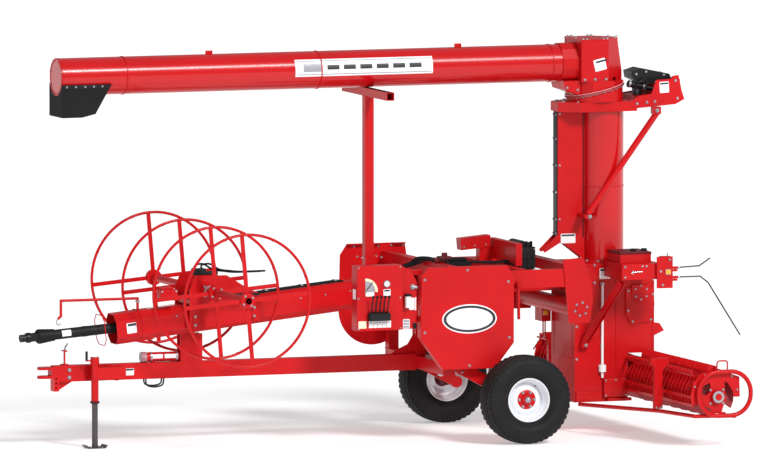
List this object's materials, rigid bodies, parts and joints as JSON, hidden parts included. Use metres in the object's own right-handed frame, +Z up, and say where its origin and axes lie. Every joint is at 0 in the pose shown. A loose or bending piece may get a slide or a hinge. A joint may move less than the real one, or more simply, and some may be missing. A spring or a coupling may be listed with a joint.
{
  "type": "towed grain bag unloader",
  "caption": "Towed farm machine that empties a grain bag: cross auger pickup, upright auger column, slewing discharge tube folded forward, bag reel, driveshaft and jack.",
  "frame": {"origin": "on the ground under the middle of the machine's box", "axes": "+X to the rear, +Y to the machine's right side, +Z up"},
  "size_m": [6.9577, 4.3618, 3.732],
  "materials": {
    "red_paint": "glossy red enamel over welded steel",
    "black_steel": "satin black paint",
    "black_plastic": "black moulded plastic",
    "black_rubber": "matt black rubber sheet",
    "tyre_rubber": "black tyre rubber",
    "white_wheel": "glossy white wheel paint",
    "zinc_steel": "zinc plated steel",
    "dark_steel": "dark painted rod",
    "chrome_rod": "ground and chromed cylinder rod"
  },
  "bodies": {
    "chassis": {"drawbar": "red_paint", "hitch_clevis": "red_paint", "driveshaft_cradle": "red_paint", "jack_body": "red_paint", "manual_canister": "red_paint", "driveline_tunnel": "red_paint", "tunnel_mouth": "red_paint", "hose_arm": "red_paint", "reel_frame": "red_paint", "cross_beams": "red_paint", "frame_uprights": "red_paint", "side_rails": "red_paint", "lift_brackets": "red_paint", "driveline_box": "red_paint", "rest_post": "red_paint", "bridge_beam": "red_paint", "hydraulic_manifold": "black_steel", "left_guard": "red_paint", "right_guard": "red_paint", "control_panel": "red_paint", "control_levers": "black_plastic", "column_base": "red_paint", "column_tube": "red_paint", "column_spine": "red_paint", "column_brace": "red_paint", "mast_arm": "red_paint", "turn_collar": "red_paint", "slew_drive": "black_steel", "rear_bracket": "red_paint", "feeler_rods": "dark_steel", "front_feeler": "red_paint", "pickup_guard_left": "red_paint", "pickup_guard_right": "red_paint", "skid_left": "red_paint", "skid_right": "red_paint"},
    "jack_leg": {"jack_leg": "zinc_steel"},
    "driveshaft": {"driveshaft": "black_plastic", "driveshaft_yoke": "black_steel"},
    "reel": {"bag_reel": "red_paint", "reel_shaft": "red_paint"},
    "lift": {"wheel_arms": "red_paint"},
    "lift_barrel_left": {"lift_barrel_left": "black_steel"},
    "lift_barrel_right": {"lift_barrel_right": "black_steel"},
    "lift_rod_left": {"lift_rod_left": "chrome_rod"},
    "lift_rod_right": {"lift_rod_right": "chrome_rod"},
    "wheel_left": {"tyre_left": "tyre_rubber", "wheel_left": "white_wheel"},
    "wheel_right": {"tyre_right": "tyre_rubber", "wheel_right": "white_wheel"},
    "discharge": {"discharge_head": "red_paint", "discharge_tube": "red_paint", "discharge_spout": "black_rubber"},
    "pickup": {"pickup_shaft": "red_paint", "pickup_flights": "red_paint"}
  },
  "joints": [
    {"name": "jack_slide", "type": "slide", "parent": "chassis", "child": "jack_leg", "axis": [0, 0, 1], "range_m": [-0.06, 0.18]},
    {"name": "driveshaft_turn", "type": "hinge", "parent": "chassis", "child": "driveshaft", "pos_m": [-3.478, 0, 1.042], "axis": [0.9969, 0, 0.0785], "continuous": true},
    {"name": "reel_turn", "type": "hinge", "parent": "chassis", "child": "reel", "pos_m": [-1.679, 0, 1.457], "axis": [0, 1, 0], "continuous": true},
    {"name": "wheel_lift", "type": "hinge", "parent": "chassis", "child": "lift", "pos_m": [0.665, 0, 0.7], "axis": [0, -1, 0], "range_deg": [0, 25]},
    {"name": "wheel_left_turn", "type": "hinge", "parent": "lift", "child": "wheel_left", "pos_m": [1.175, -1.12, 0.42], "axis": [0, 1, 0], "continuous": true},
    {"name": "wheel_right_turn", "type": "hinge", "parent": "lift", "child": "wheel_right", "pos_m": [1.175, 1.12, 0.42], "axis": [0, 1, 0], "continuous": true},
    {"name": "lift_barrel_left_swing", "type": "hinge", "parent": "chassis", "child": "lift_barrel_left", "pos_m": [0.945, -0.68, 1.39], "axis": [0, -1, 0], "range_deg": [0, 4.01]},
    {"name": "lift_rod_left_slide", "type": "slide", "parent": "lift_barrel_left", "child": "lift_rod_left", "axis": [-0.0419, 0, 0.9991], "range_m": [0, 0.1467]},
    {"name": "lift_barrel_right_swing", "type": "hinge", "parent": "chassis", "child": "lift_barrel_right", "pos_m": [0.945, 0.68, 1.39], "axis": [0, -1, 0], "range_deg": [0, 4.01]},
    {"name": "lift_rod_right_slide", "type": "slide", "parent": "lift_barrel_right", "child": "lift_rod_right", "axis": [-0.0419, 0, 0.9991], "range_m": [0, 0.1467]},
    {"name": "discharge_slew", "type": "hinge", "parent": "chassis", "child": "discharge", "pos_m": [2.291, 0, 3.241], "axis": [-0.225, 0, 0.9744], "range_deg": [-110, 110]},
    {"name": "pickup_turn", "type": "hinge", "parent": "chassis", "child": "pickup", "pos_m": [2.73, 0, 0.483], "axis": [0, 1, 0], "continuous": true}
  ],
  "couplings": [
    {"joint": "lift_barrel_left_swing", "follows": "wheel_lift", "ratio": 0.15963},
    {"joint": "lift_rod_left_slide", "follows": "wheel_lift", "m_per_rad": 0.33505},
    {"joint": "lift_barrel_right_swing", "follows": "wheel_lift", "ratio": 0.15963},
    {"joint": "lift_rod_right_slide", "follows": "wheel_lift", "m_per_rad": 0.33505}
  ]
}
